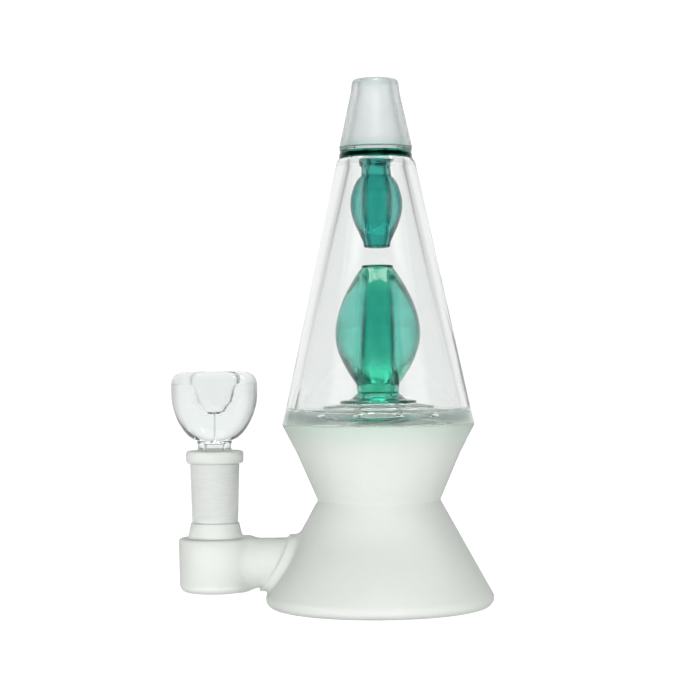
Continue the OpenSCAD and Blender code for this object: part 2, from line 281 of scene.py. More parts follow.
def outline_distance(outline, r, z):
    """Signed distance from (r, z) points to a closed outline, negative inside."""
    p = np.stack([r, z], -1)
    pts = np.array(outline, float)
    best = np.full(len(r), 1e9)
    inside = np.zeros(len(r), bool)
    for a, b in zip(pts, np.roll(pts, -1, 0)):
        e = b - a
        w = p - a
        t = np.clip((w @ e) / max(e @ e, 1e-12), 0, 1)
        d = w - t[:, None] * e
        best = np.minimum(best, (d ** 2).sum(-1))
        up = (a[1] <= z) & (b[1] > z)
        down = (a[1] > z) & (b[1] <= z)
        side = e[0] * w[:, 1] - e[1] * w[:, 0]
        inside ^= (up & (side > 0)) | (down & (side < 0))
    return np.where(inside, -1, 1) * np.sqrt(best)


def blend_union(a, b, width):
    """Union of two fields, with a fillet about as wide as given."""
    share = np.clip(0.5 + 0.5 * (b - a) / width, 0, 1)
    return b + (a - b) * share - width * share * (1 - share)


# ---------------------------------------------------------------- materials
def nodes_of(name):
    """A new material, its node tree and its main shader."""
    mat = bpy.data.materials.new(name)
    mat.use_nodes = True
    tree = mat.node_tree
    return mat, tree, tree.nodes["Principled BSDF"]


def add(tree, kind, **settings):
    """A new node with its settings."""
    node = tree.nodes.new(kind)
    for key, value in settings.items():
        setattr(node, key, value)
    return node


def noise(tree, scale, detail=3.0, stretch=(1, 1, 1), distortion=0.0):
    """Noise in object space; its scale is in features per metre."""
    place = add(tree, "ShaderNodeTexCoord")
    mapping = add(tree, "ShaderNodeMapping")
    mapping.inputs["Scale"].default_value = stretch
    tex = add(tree, "ShaderNodeTexNoise")
    tex.inputs["Scale"].default_value = scale
    tex.inputs["Detail"].default_value = detail
    tex.inputs["Distortion"].default_value = distortion
    tree.links.new(place.outputs["Object"], mapping.inputs["Vector"])
    tree.links.new(mapping.outputs["Vector"], tex.inputs["Vector"])
    return tex.outputs["Fac"]


def spread(tree, value, low_out, high_out, low_in=0.3, high_in=0.7):
    """Stretches the range of a value from low_in..high_in to low_out..high_out."""
    node = add(tree, "ShaderNodeMapRange")
    node.inputs["From Min"].default_value = low_in
    node.inputs["From Max"].default_value = high_in
    if isinstance(low_out, bpy.types.NodeSocket):
        tree.links.new(low_out, node.inputs["To Min"])
    else:
        node.inputs["To Min"].default_value = low_out
    node.inputs["To Max"].default_value = high_out
    tree.links.new(value, node.inputs["Value"])
    return node.outputs["Result"]


def tint(tree, value, dark, light):
    """A colour from dark to light, as the value of a noise rises."""
    ramp = add(tree, "ShaderNodeValToRGB")
    ramp.color_ramp.elements[0].position = 0.3
    ramp.color_ramp.elements[0].color = (*dark, 1)
    ramp.color_ramp.elements[1].position = 0.7
    ramp.color_ramp.elements[1].color = (*light, 1)
    tree.links.new(value, ramp.inputs["Fac"])
    return ramp.outputs["Color"]


def bump(tree, bsdf, layers):
    """Stacks bump layers, each (height, strength, distance in metres)."""
    normal = None
    for height, strength, distance in layers:
        node = add(tree, "ShaderNodeBump")
        node.inputs["Strength"].default_value = strength
        node.inputs["Distance"].default_value = distance
        tree.links.new(height, node.inputs["Height"])
        if normal:
            tree.links.new(normal, node.inputs["Normal"])
        normal = node.outputs["Normal"]
    tree.links.new(normal, bsdf.inputs["Normal"])


def absorb(tree, colour, density):
    """Tints the light that passes through the glass, more so where it is thick."""
    volume = add(tree, "ShaderNodeVolumeAbsorption")
    volume.inputs["Color"].default_value = (*colour, 1)
    volume.inputs["Density"].default_value = density
    tree.links.new(volume.outputs["Volume"], tree.nodes["Material Output"].inputs["Volume"])


def multiply(tree, a, b, factor=None):
    """Colour a times colour b, as far as the factor goes."""
    node = add(tree, "ShaderNodeMix", data_type="RGBA", blend_type="MULTIPLY")
    node.inputs["Factor"].default_value = 1
    if factor:
        tree.links.new(factor, node.inputs["Factor"])
    tree.links.new(a, node.inputs["A"])
    if isinstance(b, tuple):
        node.inputs["B"].default_value = (*b, 1)
    else:
        tree.links.new(b, node.inputs["B"])
    return node.outputs["Result"]


def at_height(tree, start, end):
    """A value that goes from 0 at one height to 1 at another, both in mm."""
    place = add(tree, "ShaderNodeTexCoord")
    split = add(tree, "ShaderNodeSeparateXYZ")
    tree.links.new(place.outputs["Object"], split.inputs["Vector"])
    if start < end:
        return spread(tree, split.outputs["Z"], 0, 1, start * MM, end * MM)
    return spread(tree, split.outputs["Z"], 1, 0, end * MM, start * MM)


def clear_glass(name, ior=1.47, drawn=0.25, etched_z=None):
    """Clear glass with drawing marks; a face at the height etched_z, in mm, is etched white."""
    mat, tree, bsdf = nodes_of(name)
    bsdf.inputs["Transmission Weight"].default_value = 1.0
    bsdf.inputs["IOR"].default_value = ior
    draw = noise(tree, 90, 2, stretch=(1, 1, 0.25))
    smear = noise(tree, 260, 4)
    colour = tint(tree, smear, (0.965, 0.98, 0.972), (0.99, 0.995, 0.992))
    polish = spread(tree, smear, 0.0, 0.012)
    if etched_z:
        etched = at_height(tree, etched_z + 0.12, etched_z + 0.06)
        colour = multiply(tree, colour, (0.95, 1.0, 0.955), etched)
        polish = spread(tree, etched, polish, 0.4, 0, 1)
        tree.links.new(spread(tree, etched, 1.0, 0.25, 0, 1), bsdf.inputs["Transmission Weight"])
    tree.links.new(colour, bsdf.inputs["Base Color"])
    tree.links.new(polish, bsdf.inputs["Roughness"])
    bump(tree, bsdf, [(draw, drawn, 0.0004)])
    absorb(tree, (0.50, 0.80, 0.70), 5)
    return mat


def teal_glass(name, base, density, painted_edge_shade, painted_bands):
    """Tinted glass, with painted shade where it is seen along the wall, which stands partly for the
    deeper tint of the longer path and partly for the dark refraction at the sides.

    Each painted band is (height where its painted light or shade starts, height where it is full, tint);
    a tint over 1 paints the band lighter, one under 1 paints shade."""
    mat, tree, bsdf = nodes_of(name)
    bsdf.inputs["Transmission Weight"].default_value = 1.0
    bsdf.inputs["IOR"].default_value = 1.47
    cloud = noise(tree, 220, 4, distortion=0.6)
    drift = noise(tree, 70, 2, stretch=(1, 1, 0.3))
    colour = tint(tree, cloud, base, tuple(1.13 * c for c in base))
    facing = add(tree, "ShaderNodeLayerWeight")
    facing.inputs["Blend"].default_value = 0.5
    # Painted shade: the colour is darker where the glass is seen at a grazing angle, partly for the
    # longer path along the wall and partly for the dark refraction at the sides.
    edge = spread(tree, facing.outputs["Facing"], 0, 1, 0.15, 0.55)
    colour = multiply(tree, colour, painted_edge_shade, edge)
    # Painted light and shade in bands by height, each multiplying the colour by its tint.
    for start, end, shade in painted_bands:
        colour = multiply(tree, colour, shade, at_height(tree, start, end))
    tree.links.new(colour, bsdf.inputs["Base Color"])
    tree.links.new(spread(tree, cloud, 0.08, 0.14), bsdf.inputs["Roughness"])
    bump(tree, bsdf, [(drift, 0.3, 0.0005)])
    absorb(tree, (0.10, 0.72, 0.60), density)
    return mat


def disc_glass(name, colour, density):
    """Streaky teal glass of the disc's layers."""
    mat, tree, bsdf = nodes_of(name)
    bsdf.inputs["Transmission Weight"].default_value = 1.0
    bsdf.inputs["IOR"].default_value = 1.47
    streak = noise(tree, 260, 4, stretch=(1, 1, 0.2), distortion=1.0)
    tree.links.new(tint(tree, streak, (0.30, 0.80, 0.72), (0.45, 0.90, 0.84)), bsdf.inputs["Base Color"])
    tree.links.new(spread(tree, streak, 0.0, 0.02), bsdf.inputs["Roughness"])
    bump(tree, bsdf, [(streak, 0.3, 0.0003)])
    absorb(tree, colour, density)
    return mat


def frosted_glass(name, base, clearness, rough, grain, painted_rim_shade, painted_bands):
    """Etched glass with painted shade where it is seen along the wall, which stands partly for the
    longer path through the wall and partly for the shade at the sides, and with painted bands of light
    or shade by height.

    Each painted band is (height where its tint starts, height where it is full, tint)."""
    mat, tree, bsdf = nodes_of(name)
    bsdf.inputs["Transmission Weight"].default_value = clearness
    bsdf.inputs["IOR"].default_value = 1.47
    cloud = noise(tree, 45, 4)
    grit = noise(tree, 2100, 2)
    pits = noise(tree, 1500, 3)
    colour = tint(tree, cloud, base, tuple(c + 0.033 for c in base))
    dull = 1 - 0.27 * grain
    colour = multiply(tree, colour, tint(tree, grit, (dull, dull, dull), (1, 1, 1)))
    facing = add(tree, "ShaderNodeLayerWeight")
    facing.inputs["Blend"].default_value = 0.5
    # Painted shade: darker and greener where the frost is seen at a grazing angle, partly for the longer
    # path through the wall and partly for the shade at the sides.
    edge = spread(tree, facing.outputs["Facing"], 0, 1, 0.15, 0.85)
    colour = multiply(tree, colour, painted_rim_shade, edge)
    # Painted light and shade in bands by height.
    for start, end, shade in painted_bands:
        colour = multiply(tree, colour, shade, at_height(tree, start, end))
    tree.links.new(colour, bsdf.inputs["Base Color"])
    tree.links.new(spread(tree, pits, rough - 0.05, rough + 0.06), bsdf.inputs["Roughness"])
    bump(tree, bsdf, [(grit, grain, 0.00006), (pits, grain / 2, 0.00012)])
    return mat


def ground_glass():
    """Glass ground white, with fine rings round it."""
    mat, tree, bsdf = nodes_of("ground_glass")
    bsdf.inputs["Transmission Weight"].default_value = 0.65
    bsdf.inputs["IOR"].default_value = 1.47
    rings = noise(tree, 900, 3, stretch=(0.25, 0.25, 1.6))
    grit = noise(tree, 2400, 3)
    tree.links.new(tint(tree, rings, (0.73, 0.76, 0.74), (0.81, 0.83, 0.81)), bsdf.inputs["Base Color"])
    tree.links.new(spread(tree, grit, 0.28, 0.38), bsdf.inputs["Roughness"])
    bump(tree, bsdf, [(grit, 0.08, 0.0001), (rings, 0.08, 0.0001)])
    return mat


def floor_material():
    """Pale floor, which the camera sees as white and which lets most other light through."""
    mat, tree, bsdf = nodes_of("pale_floor")
    bsdf.inputs["Roughness"].default_value = 0.7
    bsdf.inputs["Specular IOR Level"].default_value = 0.2
    mottle = noise(tree, 8, 3)
    tree.links.new(tint(tree, mottle, (0.80, 0.80, 0.80), (0.82, 0.82, 0.82)), bsdf.inputs["Base Color"])
    glow = add(tree, "ShaderNodeEmission")
    glow.inputs["Strength"].default_value = 1.1
    clear = add(tree, "ShaderNodeBsdfTransparent")
    soft = add(tree, "ShaderNodeMixShader")
    soft.inputs["Fac"].default_value = 0.85
    tree.links.new(bsdf.outputs["BSDF"], soft.inputs[1])
    tree.links.new(clear.outputs["BSDF"], soft.inputs[2])
    out = camera_switch(tree, soft.outputs["Shader"], glow.outputs["Emission"])
    tree.links.new(out, tree.nodes["Material Output"].inputs["Surface"])
    return mat


# ---------------------------------------------------------------- pieces
def dress(obj, mat, slot, body, *nodes):
    """Gives a piece its material and its body, and hides the CAD nodes that it stands for; its slot is
    not used.
    """
    obj.data.materials.clear()
    obj.data.materials.append(mat)
    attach(obj, body)
    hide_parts(*nodes)


def base_lines():
    """Outlines of the hourglass base and of the hollow in it, each as a turned solid."""
    centre = np.array([HEEL_R - HEEL_ROUND, HEEL_ROUND])
    to_waist = np.array([WAIST_R, WAIST_Z]) - centre
    turn = math.atan2(to_waist[1], to_waist[0]) - math.acos(HEEL_ROUND / np.linalg.norm(to_waist))
    across = BASE_WALL / math.cos(turn)
    arc = [tuple(centre + HEEL_ROUND * np.array([math.cos(a), math.sin(a)]))
           for a in np.linspace(-math.pi / 2, turn, 14)]
    rise = 4
    over = CORNER_R + rise * (CORNER_R - FLARE_R) / (DECK_Z - FLARE_Z)
    flare = [(WAIST_R, WAIST_Z), (FLARE_R, FLARE_Z), (CORNER_R, DECK_Z), (over, DECK_Z + rise)]
    outer = [(0, 0)] + arc + flare + [(0, DECK_Z + rise)]
    inner = [(0, FLOOR_T), (FLOOR_R - 1.5, FLOOR_T), (FLOOR_R - 0.6, FLOOR_T + 1)]
    inner += [(r - across, z) for r, z in flare] + [(0, DECK_Z + rise)]
    return outer, inner


BASE_OUT, BASE_IN = base_lines()


def base_field(points):
    """Fused base, arm, pot and joint foot: negative in the glass."""
    x, y, z = points.T
    # Blown glass is slightly out of round, but the rim that it stands on is not.
    turn = np.arctan2(y, x)
    r = np.hypot(x, y) + 0.10 * np.sin(2 * turn + 0.7) * np.clip(z / 10, 0, 1)
    side = np.hypot(x - JOINT_X, y)
    arm = np.hypot(y, z - ARM_Z)
    skirt = outline_distance(BASE_OUT, r, z)
    reach = np.maximum(JOINT_X - x, x - ARM_END_X)
    bar = np.maximum(arm - ARM_R, reach)
    collar = np.maximum(np.maximum(arm - ARM_R - COLLAR_WALL, skirt - COLLAR_REACH), x - ARM_END_X)
    pot = outline_distance(rounded([(0, POT_Z), (POT_R - 0.4, POT_Z, 2.9), (POT_R, POT_TOP, 1.2),
                                    (0, POT_TOP)], closed=False), side, z)
    foot = outline_distance(rounded([(0, POT_TOP - 3), (10.0, POT_TOP - 3), (9.9, POT_TOP),
                                     (9.2, POT_TOP + 2.6, 3), (SOCKET_FOOT_R, SOCKET_Z + 2),
                                     (0, SOCKET_Z + 2)], closed=False), side, z)
    collar_melt, arm_melt, pot_melt, foot_melt = 1.0, 1.8, 3.4, 0.8
    solid = blend_union(skirt, blend_union(bar, collar, collar_melt), arm_melt)
    solid = blend_union(solid, pot, pot_melt)
    solid = blend_union(solid, foot, foot_melt)
    hollow = outline_distance(BASE_IN, r, z)
    bore = np.maximum(arm - ARM_BORE, reach)
    well_r, way_r = POT_R - POT_WALL, 6.2
    well = outline_distance([(0, POT_Z + POT_WALL), (well_r, POT_Z + POT_WALL),
                             (well_r, POT_TOP - POT_WALL), (way_r, POT_TOP - POT_WALL + 1),
                             (way_r, SOCKET_Z + 4), (0, SOCKET_Z + 4)], side, z)
    cave = np.minimum(np.minimum(hollow, bore), well)
    punt = np.maximum(z - PUNT, r - (FLOOR_R - 3.5))
    solid = np.maximum(np.maximum(solid, -cave), -punt)
    top = np.where(side < POT_R + 2, SOCKET_Z, DECK_Z) - CONTACT
    return np.maximum(solid, z - top)


def make_base(mat):
    spare = 1.3
    lo = (JOINT_X - POT_R - spare, -HEEL_R - spare, -spare)
    hi = (HEEL_R + spare, HEEL_R + spare, DECK_Z + spare)
    verts, faces = surface_net(base_field, lo, hi, GRID)
    verts[:, 2] = np.clip(verts[:, 2], 0, DECK_Z - CONTACT)
    base = mesh_object("frosted_base", verts, faces.tolist())
    dress(base, mat, "frosted_glass", VESSEL, "base_floor", "base_skirt", "base_cone", "arm_weld",
          "side_arm", "side_pot", "pot_floor", "joint_foot")


def chamber_at(z):
    """Outer radius of the chamber at a height."""
    return CHAMBER_R + (SHOULDER_R - CHAMBER_R) * (z - DECK_TOP) / (SHOULDER_Z - DECK_TOP)


def make_chamber(mat):
    """Deck plate, melted foot ring and conical chamber, which are one piece of clear glass."""
    inner_foot = chamber_at(DECK_TOP) - 3.4
    seam_z = DECK_Z + 3.9
    outline = rounded([
        (DECK_BORE, DECK_Z + CONTACT, 0.4),
        (13.4, DECK_Z + CONTACT, 0.3),
        (14.2, DECK_Z + 0.55, 0.4),
        (15.0, DECK_Z + CONTACT, 0.3),
        (CORNER_R, DECK_Z + CONTACT, 0.25),
        (CHAMBER_R, DECK_TOP, 5),
        (SHOULDER_R, SHOULDER_Z, 0.8),
        (DISC_R + 0.1, CHAMBER_TOP - CONTACT, 0.5),
        (SHOULDER_R - 4.4, CHAMBER_TOP - CONTACT, 1.2),
        (SHOULDER_R - 4.2, SHOULDER_Z - 2, 3),
        (inner_foot, DECK_TOP, 0.9),
        (RING_R + 0.2, DECK_TOP, 0.2),
        (RING_R, DECK_TOP + 0.9, 0.4),
        (RING_R, DECK_TOP + 2.1, 0.4),
        (RING_R - 0.7, DECK_TOP + 2.2, 0.4),
        (RING_R - 1.0, DECK_TOP + 1.5, 0.2),
        (RING_R - 2.2, DECK_TOP + 1.5, 0.2),
        (RING_R - 2.5, DECK_TOP + 2.6, 0.4),
        (RING_R - 3.5, DECK_TOP + 2.6, 0.4),
        (RING_R - 3.8, DECK_TOP + 1.9, 0.2),
        (RING_R - 5.0, DECK_TOP + 2.0, 0.3),
        (RING_R - 5.3, RING_TOP - CONTACT, 0.4),
        (DECK_BORE, RING_TOP - CONTACT, 0.3),
        (DECK_BORE, seam_z + 0.3, 0.3),
        (DECK_BORE + 2.1, seam_z, 0.1),
        (DECK_BORE, seam_z - 0.3, 0.3),
    ])
    rng = np.random.default_rng(7)
    phase = rng.uniform(0, 2 * math.pi, 6)

    def wobble(r, z, a):
        low_part = np.clip((RING_TOP + 1 - z) / 3, 0, 1) * np.clip((r - DECK_BORE - 3) / 6, 0, 1)
        inner = np.clip((chamber_at(z) - r - 1.5) / 2, 0, 1)
        wave = np.sin(2 * a + phase[0]) + 0.6 * np.sin(3 * a + phase[1] + z * 0.05)
        ripple = 0.04 * np.sin(5 * a + phase[2]) + 0.02 * np.sin(9 * a + phase[3])
        rings = 0.04 * np.sin(r * 1.9) * (r > RING_R) * (z > DECK_Z + 1)
        return r + inner * (0.10 * wave), z + low_part * inner * (ripple + rings)

    chamber = lathe("clear_chamber", dense(outline), wobble=wobble)
    dress(chamber, mat, "clear_glass", VESSEL, "deck_plate", "foot_ring", "chamber")


def bubbles(spots):
    """Small round seeds of air in the glass, as inward-facing closed surfaces."""
    verts, faces = [], []
    rows, cols = 6, 10
    around = [2 * math.pi * k / cols for k in range(cols)]
    for x, y, z, r in spots:
        base = sum(len(v) for v in verts)
        pts = [(0, 0, -r)]
        for i in range(1, rows):
            lat = -math.pi / 2 + math.pi * i / rows
            pts += [(r * math.cos(lat) * math.cos(a), r * math.cos(lat) * math.sin(a),
                     r * math.sin(lat)) for a in around]
        pts.append((0, 0, r))
        verts.append(np.array(pts) + (x, y, z))
        top = base + len(pts) - 1
        for k in range(cols):
            k2 = (k + 1) % cols
            faces.append((base, base + 1 + k, base + 1 + k2))
            for i in range(rows - 2):
                row = base + 1 + i * cols
                faces.append((row + k, row + cols + k, row + cols + k2, row + k2))
            last = base + 1 + (rows - 2) * cols
            faces.append((last + k, top, last + k2))
    return np.concatenate(verts), faces


def scattered(rng, count, heights, distances, sizes):
    """Random places and radii for bubbles, between the limits given."""
    spots = []
    for _ in range(count):
        z = rng.uniform(*heights)
        a = rng.uniform(0, 2 * math.pi)
        d = rng.uniform(*distances)
        spots.append((d * math.cos(a), d * math.sin(a), z, rng.uniform(*sizes)))
    return spots


def with_bubbles(name, outline, wobble, spots):
    """A turned piece with bubbles in its glass, as one mesh."""
    verts, faces = turned(dense(outline, 1.0), wobble=wobble)
    seeds, seed_faces = bubbles(spots)
    shifted = [tuple(i + len(verts) for i in f) for f in seed_faces]
    return mesh_object(name, np.concatenate([verts, seeds]), faces.tolist() + shifted)


def make_lower_blob(mat):
    """The lower blob with its flared foot, which stands on the melted ring."""
    z0 = RING_TOP + CONTACT
    neck_z = RING_TOP + 6.4
    outline = rounded([(LOWER_BORE, z0, 0.3), (13.8, z0, 0.4), (13.6, z0 + 0.9, 0.5),
                       (LOWER_NECK_R + 2.4, z0 + 1.5, 2.5), (LOWER_NECK_R, z0 + 3.6, 2.2)], closed=False)
    outline += swell(LOWER_NECK_R, LOWER_R, LOWER_MID_Z, neck_z, 1, 0.98, 0)
    outline += swell(LOWER_RIM_R, LOWER_R, LOWER_MID_Z, LOWER_TOP - 0.8, 0.85, 0.03, 0.985)
    outline += rounded([(LOWER_RIM_R, LOWER_TOP - 0.8), (LOWER_RIM_R + 0.1, LOWER_TOP, 0.7),
                        (LOWER_MOUTH, LOWER_TOP, 0.7), (LOWER_HOLE, LOWER_TOP - 1.8, 1.0),
                        (LOWER_DOME_R, LOWER_DOME_Z, 3.2), (LOWER_DOME_R + 0.3, LOWER_MID_Z - 4, 40),
                        (LOWER_BORE, neck_z + 1, 20)], closed=False)
    rng = np.random.default_rng(3)
    phase = rng.uniform(0, 2 * math.pi, 6)

    def wobble(r, z, a):
        up = np.clip((z - RING_TOP - 4) / 8, 0, 1) * np.clip((LOWER_TOP - z) / 6, 0, 1)
        wave = 0.16 * np.sin(2 * a + phase[0] + z * 0.08) + 0.10 * np.sin(3 * a + phase[1] - z * 0.12)
        bore = np.clip(LOWER_BORE + 1.2 - r, 0, 1)
        ridge = 0.02 * np.sin(z * 0.55 + phase[2]) + 0.08 * np.sin(3 * a + z * 0.12)
        return r + up * (wave + bore * ridge), z

    spots = scattered(rng, 14, (84, 114), (6.6, 8.2), (0.06, 0.16))
    blob = with_bubbles("lower_blob_piece", outline, wobble, spots)
    dress(blob, mat, "teal_glass", VESSEL, "lower_blob")


def make_upper_blob(mat):
    """The upper blob with the swirled weld that hangs it from the disc."""
    top = DISC_Z - CONTACT
    neck_top = DISC_Z - 2.6
    neck_foot = UPPER_MID_Z + 10.4
    hollow_r = UPPER_R / 2
    outline = swell(UPPER_RIM_R, UPPER_R, UPPER_MID_Z, UPPER_RIM_Z + 1.0, 1.2, 0.97, 0)
    outline += swell(UPPER_NECK_R, UPPER_R, UPPER_MID_Z, UPPER_MID_Z + 10.7, 0.65, 0.04, 0.99)
    outline += rounded([(UPPER_NECK_R, neck_top - 0.6), (UPPER_NECK_R + 0.2, neck_top, 0.5),
                        (UPPER_NECK_R + 1.3, neck_top + 1.0, 0.8), (UPPER_NECK_R + 1.0, top - 0.4, 0.5),
                        (UPPER_NECK_R + 1.6, top, 0.2), (UPPER_BORE, top, 0.3),
                        (UPPER_BORE, neck_foot)], closed=False)
    outline += swell(UPPER_BORE, hollow_r, UPPER_MID_Z, neck_foot, 0.8, 0.99, 0.04)
    outline += swell(UPPER_MOUTH, hollow_r, UPPER_MID_Z, UPPER_RIM_Z, 1.2, 0, 0.86)
    outline += rounded([(UPPER_MOUTH, UPPER_RIM_Z + 1.4), (UPPER_MOUTH, UPPER_RIM_Z, 0.9),
                        (UPPER_RIM_R, UPPER_RIM_Z, 0.9), (UPPER_RIM_R + 0.1, UPPER_RIM_Z + 1.4)],
                       closed=False)
    rng = np.random.default_rng(5)
    phase = rng.uniform(0, 2 * math.pi, 6)

    def wobble(r, z, a):
        weld = np.clip((z - neck_top + 1.2) / 1.4, 0, 1)
        weld = weld * np.clip((top - 0.3 - z) / 0.5, 0, 1)
        body = np.clip((neck_top - z) / 4, 0, 1)
        body = body * np.clip((z - UPPER_RIM_Z - 1) / 4, 0, 1)
        outer = np.clip((r - 3.6) / 1.0, 0, 1)
        swirl = 0.55 * np.sin(3 * a + 2.4 * (z - neck_top) + phase[0]) + 0.3 * np.sin(7 * a + phase[1])
        wave = 0.10 * np.sin(2 * a + phase[2] + z * 0.15) + 0.07 * np.sin(3 * a + phase[3])
        inside = (1 - outer) * 0.09 * np.sin(z * 1.1 + phase[4])
        return r + weld * outer * swirl + body * (wave + inside), z

    spots = scattered(rng, 10, (134, 149), (5.6, 6.6), (0.05, 0.13))
    blob = with_bubbles("upper_blob_piece", outline, wobble, spots)
    dress(blob, mat, "teal_glass", VESSEL, "upper_blob", "neck_weld")


def make_disc(rim_mat, core_mat):
    """The disc is a dark layer between two thin emerald ones."""
    rng = np.random.default_rng(9)
    phase = rng.uniform(0, 2 * math.pi, 4)

    def wobble(r, z, a):
        rim = np.clip((r - 8) / 4, 0, 1)
        return r + rim * 0.06 * np.sin(3 * a + phase[0]), z + rim * 0.08 * np.sin(2 * a + phase[1])

    lower, upper = DISC_Z + 0.6, SEAL_Z - 0.75
    layers = [("disc_lower_layer", DISC_Z, lower, DISC_R - 0.1, rim_mat),
              ("disc_core", lower, upper, DISC_R - 0.15, core_mat),
              ("disc_upper_layer", upper, SEAL_Z, DISC_R - 0.4, rim_mat)]
    for name, z0, z1, r, mat in layers:
        z0 += CONTACT
        outline = rounded([(UPPER_BORE, z0, 0.1), (r, z0, 0.25), (r - 0.05, z1, 0.25),
                           (UPPER_BORE, z1, 0.1)])
        dress(lathe(name, dense(outline), wobble=wobble), mat, "deep_teal_glass", VESSEL, "upper_disc")


def make_seal_ring(mat):
    inner = MOUTH_R - MOUTH_WALL
    outline = rounded([(inner, SEAL_Z + CONTACT, 0.3), (MOUTH_R - 0.5, SEAL_Z + CONTACT, 0.3),
                       (MOUTH_R - 0.15, SEAL_Z + 0.7, 0.5), (MOUTH_R - 0.2, MOUTH_Z - CONTACT, 0.2),
                       (inner, MOUTH_Z - CONTACT, 0.3)])
    reach = MOUTH_R - 1.1
    spots = [(reach * math.sin(a), -reach * math.cos(a), MOUTH_Z - 0.7, 0.3) for a in (-0.66, 0.68)]
    ring = with_bubbles("seal_ring_piece", outline, None, spots)
    dress(ring, mat, "clear_glass", VESSEL, "seal_ring")


def make_mouthpiece(mat):
    bore = LIP_R - MOUTH_WALL
    outline = rounded([
        (MOUTH_R - MOUTH_WALL, MOUTH_Z, 0.4), (MOUTH_R, MOUTH_Z, 0.3), (LIP_R, LIP_Z, 12),
        (LIP_R - 0.5, TOP_Z, 2.6), (bore - 0.2, TOP_Z, 1.4), (bore, LIP_Z, 8)])
    rng = np.random.default_rng(11)
    phase = rng.uniform(0, 2 * math.pi, 4)

    def wobble(r, z, a):
        wave = 0.05 * np.sin(2 * a + phase[0] + z * 0.1) + 0.04 * np.sin(3 * a + phase[1])
        return r + wave * np.clip((z - MOUTH_Z) / 4, 0, 1), z

    mouthpiece = lathe("mouthpiece_piece", dense(outline), wobble=wobble)
    dress(mouthpiece, mat, "frosted_glass", VESSEL, "mouthpiece", "mouth_lip")


def make_socket(ground, frosted):
    """Ground female tube of the joint, and the melted bead round its mouth."""
    def at(z):
        """Radius of the ground bore at a height."""
        return GROUND_R + GROUND_GAP - (SOCKET_TOP - z) * TAPER

    mouth = at(SOCKET_TOP)
    tube = rounded([(at(SOCKET_Z), SOCKET_Z, 0.2), (SOCKET_FOOT_R, SOCKET_Z, 0.3),
                    (SOCKET_FOOT_R + 0.1, SOCKET_Z + 1.0, 1), (SOCKET_R, SOCKET_TOP, 0.2),
                    (mouth, SOCKET_TOP, 0.1)])
    socket = lathe("joint_socket_piece", dense(tube), axis_x=JOINT_X)
    dress(socket, ground, "ground_glass", VESSEL, "joint_socket")
    bead = rounded([(mouth, SOCKET_TOP + CONTACT, 0.1), (BEAD_R, SOCKET_TOP + CONTACT, 1.6),
                    (BEAD_R, BEAD_TOP, 1.8), (mouth + 0.8, BEAD_TOP, 0.9),
                    (mouth + 0.2, BEAD_TOP - 1.6, 0.8)])
    ring = lathe("joint_bead_piece", bead, axis_x=JOINT_X)
    dress(ring, frosted, "clear_glass", VESSEL, "joint_bead")


def bowl_cavity():
    """Outline of the bowl's tapering cup, from its mouth to the hole under it."""
    return [(9.5, BOWL_TOP - 0.05, 0.8), (8.8, BOWL_TOP - 1.6, 1.5), (8.5, BOWL_TOP - 4.6, 3),
            (7.2, BOWL_FOOT + 17.2, 5), (5.6, BOWL_FOOT + 13.4, 5), (3.6, BOWL_FOOT + 10.6, 2.5),
            (BOWL_HOLE, BOWL_FOOT + 9.6, 0.2), (BOWL_HOLE, BOWL_FOOT + 2.0, 0.2)]


def make_bowl(clear, ground):
    """The loose bowl of clear glass, and its ground male cone."""
    neck_bore, lip = 3.0, 4.8
    outline = rounded([(neck_bore, MALE_TOP, 0.2), (GROUND_R - 0.05, MALE_TOP + 0.02, 0.2),
                       (GROUND_R - 0.2, MALE_TOP + 1.2, 1.2), (BOWL_NECK_R + 0.1, MALE_TOP + 3.4, 2),
                       (BOWL_NECK_R - 0.2, BOWL_FOOT - 2.0, 3), (BOWL_NECK_R + 0.2, BOWL_FOOT - 0.1)],
                      closed=False)
    outline += swell(BOWL_NECK_R, BOWL_R, BOWL_MID_Z, BOWL_FOOT, 0.55, 0.97, 0.02, 40)
    outline += [(BOWL_R - lip + lip * math.cos(a), BOWL_TOP - lip + lip * math.sin(a))
                for a in np.linspace(0, math.pi / 2, 16)]
    inside = [(BOWL_R - lip - 0.1, BOWL_TOP)] + bowl_cavity() + [(neck_bore, BOWL_FOOT - 1.0, 2)]
    outline += rounded(inside, closed=False)
    rng = np.random.default_rng(13)
    phase = rng.uniform(0, 2 * math.pi, 6)

    def wobble(r, z, a):
        up = np.clip((z - BOWL_FOOT) / 5, 0, 1)
        wave = 0.12 * np.sin(2 * a + phase[0]) + 0.07 * np.sin(3 * a + phase[1] + z * 0.2)
        lift = 0.10 * np.sin(2 * a + phase[2]) * np.clip((z - BOWL_TOP + 4) / 4, 0, 1)
        return np.minimum(r + up * wave, BOWL_R + 0.1), z - np.abs(lift)

    bowl = lathe("bowl_clear", dense(outline, 0.5), axis_x=JOINT_X, wobble=wobble)
    dress(bowl, clear, "clear_glass", BOWL_BODY, "bowl", "bowl_neck")
    foot_r = GROUND_R - (MALE_TOP - MALE_Z) * TAPER
    male = rounded([(4.4, MALE_Z, 0.6), (foot_r, MALE_Z, 0.7), (GROUND_R - 0.02, MALE_TOP - 0.02, 0.2),
                    (neck_bore, MALE_TOP - 0.02, 0.2), (4.4, MALE_TOP - 3, 2)])
    cone = lathe("bowl_ground_cone", dense(male), axis_x=JOINT_X)
    dress(cone, ground, "ground_glass", BOWL_BODY, "bowl_joint")


